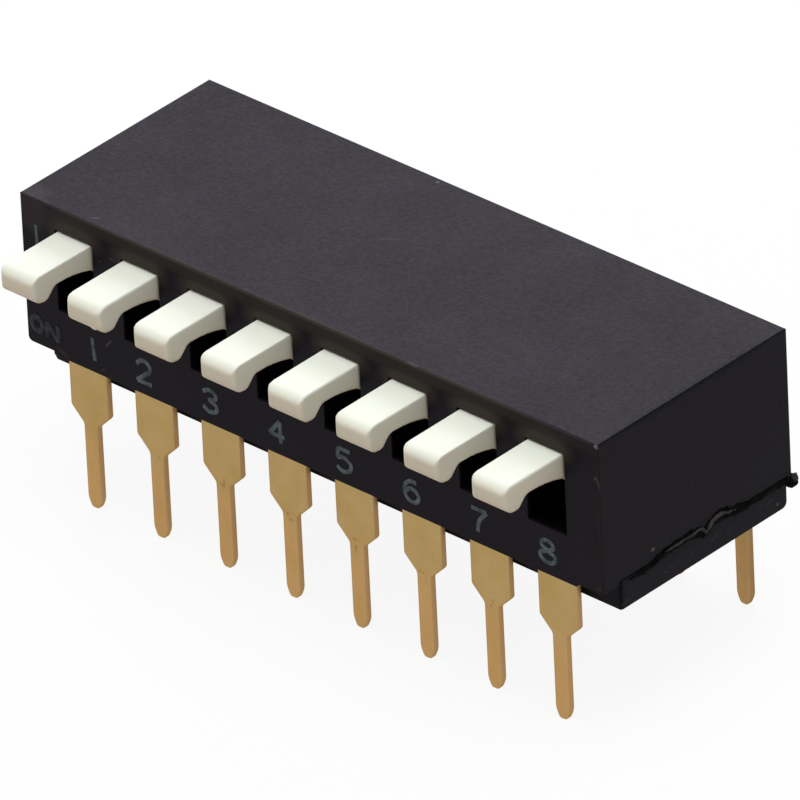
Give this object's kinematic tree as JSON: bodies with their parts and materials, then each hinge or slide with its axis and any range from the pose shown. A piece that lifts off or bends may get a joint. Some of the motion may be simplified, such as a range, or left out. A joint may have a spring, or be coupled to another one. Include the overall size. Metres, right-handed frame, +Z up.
{
  "type": "dip switch",
  "caption": "Piano-type DIP switch: a black moulded case with a row of ivory rocking levers in front, sliding contacts inside and two rows of flat brass terminals below.",
  "frame": {"origin": "middle of the terminal pattern on the base's underside, which is the seating plane", "axes": "+X along the row towards the last lever, +Y to the back, +Z up; the levers point to -Y"},
  "size_m": [0.0218, 0.0105, 0.0098],
  "materials": {
    "case": "moulded, finely grained, black",
    "base": "moulded, black",
    "lever": "moulded, ivory white, semi-gloss",
    "contact": "stamped, gold-plated",
    "terminal": "stamped, dull gold-plated"
  },
  "bodies": {
    "housing": {"case": "case", "base": "base", "front_terminal_1": "terminal", "front_terminal_2": "terminal", "front_terminal_3": "terminal", "front_terminal_4": "terminal", "front_terminal_5": "terminal", "front_terminal_6": "terminal", "front_terminal_7": "terminal", "front_terminal_8": "terminal", "rear_terminal_1": "terminal", "rear_terminal_2": "terminal", "rear_terminal_3": "terminal", "rear_terminal_4": "terminal", "rear_terminal_5": "terminal", "rear_terminal_6": "terminal", "rear_terminal_7": "terminal", "rear_terminal_8": "terminal"},
    "lever_1": {"lever_1": "lever"},
    "lever_2": {"lever_2": "lever"},
    "lever_3": {"lever_3": "lever"},
    "lever_4": {"lever_4": "lever"},
    "lever_5": {"lever_5": "lever"},
    "lever_6": {"lever_6": "lever"},
    "lever_7": {"lever_7": "lever"},
    "lever_8": {"lever_8": "lever"},
    "contact_1": {"contact_1": "contact"},
    "contact_2": {"contact_2": "contact"},
    "contact_3": {"contact_3": "contact"},
    "contact_4": {"contact_4": "contact"},
    "contact_5": {"contact_5": "contact"},
    "contact_6": {"contact_6": "contact"},
    "contact_7": {"contact_7": "contact"},
    "contact_8": {"contact_8": "contact"}
  },
  "joints": [
    {"name": "lever_1_hinge", "type": "hinge", "parent": "housing", "child": "lever_1", "pos_m": [-0.00889, -0.0014, 0.0036], "axis": [1, 0, 0], "range_deg": [0, 30]},
    {"name": "lever_2_hinge", "type": "hinge", "parent": "housing", "child": "lever_2", "pos_m": [-0.00635, -0.0014, 0.0036], "axis": [1, 0, 0], "range_deg": [0, 30]},
    {"name": "lever_3_hinge", "type": "hinge", "parent": "housing", "child": "lever_3", "pos_m": [-0.00381, -0.0014, 0.0036], "axis": [1, 0, 0], "range_deg": [0, 30]},
    {"name": "lever_4_hinge", "type": "hinge", "parent": "housing", "child": "lever_4", "pos_m": [-0.00127, -0.0014, 0.0036], "axis": [1, 0, 0], "range_deg": [0, 30]},
    {"name": "lever_5_hinge", "type": "hinge", "parent": "housing", "child": "lever_5", "pos_m": [0.00127, -0.0014, 0.0036], "axis": [1, 0, 0], "range_deg": [0, 30]},
    {"name": "lever_6_hinge", "type": "hinge", "parent": "housing", "child": "lever_6", "pos_m": [0.00381, -0.0014, 0.0036], "axis": [1, 0, 0], "range_deg": [0, 30]},
    {"name": "lever_7_hinge", "type": "hinge", "parent": "housing", "child": "lever_7", "pos_m": [0.00635, -0.0014, 0.0036], "axis": [1, 0, 0], "range_deg": [0, 30]},
    {"name": "lever_8_hinge", "type": "hinge", "parent": "housing", "child": "lever_8", "pos_m": [0.00889, -0.0014, 0.0036], "axis": [1, 0, 0], "range_deg": [0, 30]},
    {"name": "contact_1_slide", "type": "slide", "parent": "housing", "child": "contact_1", "axis": [0, 1, 0], "range_m": [0, 0.00107]},
    {"name": "contact_2_slide", "type": "slide", "parent": "housing", "child": "contact_2", "axis": [0, 1, 0], "range_m": [0, 0.00107]},
    {"name": "contact_3_slide", "type": "slide", "parent": "housing", "child": "contact_3", "axis": [0, 1, 0], "range_m": [0, 0.00107]},
    {"name": "contact_4_slide", "type": "slide", "parent": "housing", "child": "contact_4", "axis": [0, 1, 0], "range_m": [0, 0.00107]},
    {"name": "contact_5_slide", "type": "slide", "parent": "housing", "child": "contact_5", "axis": [0, 1, 0], "range_m": [0, 0.00107]},
    {"name": "contact_6_slide", "type": "slide", "parent": "housing", "child": "contact_6", "axis": [0, 1, 0], "range_m": [0, 0.00107]},
    {"name": "contact_7_slide", "type": "slide", "parent": "housing", "child": "contact_7", "axis": [0, 1, 0], "range_m": [0, 0.00107]},
    {"name": "contact_8_slide", "type": "slide", "parent": "housing", "child": "contact_8", "axis": [0, 1, 0], "range_m": [0, 0.00107]}
  ],
  "couplings": [
    {"joint": "lever_1_hinge", "follows": "contact_1_slide", "rad_per_m": 488.65},
    {"joint": "lever_2_hinge", "follows": "contact_2_slide", "rad_per_m": 488.65},
    {"joint": "lever_3_hinge", "follows": "contact_3_slide", "rad_per_m": 488.65},
    {"joint": "lever_4_hinge", "follows": "contact_4_slide", "rad_per_m": 488.65},
    {"joint": "lever_5_hinge", "follows": "contact_5_slide", "rad_per_m": 488.65},
    {"joint": "lever_6_hinge", "follows": "contact_6_slide", "rad_per_m": 488.65},
    {"joint": "lever_7_hinge", "follows": "contact_7_slide", "rad_per_m": 488.65},
    {"joint": "lever_8_hinge", "follows": "contact_8_slide", "rad_per_m": 488.65}
  ]
}
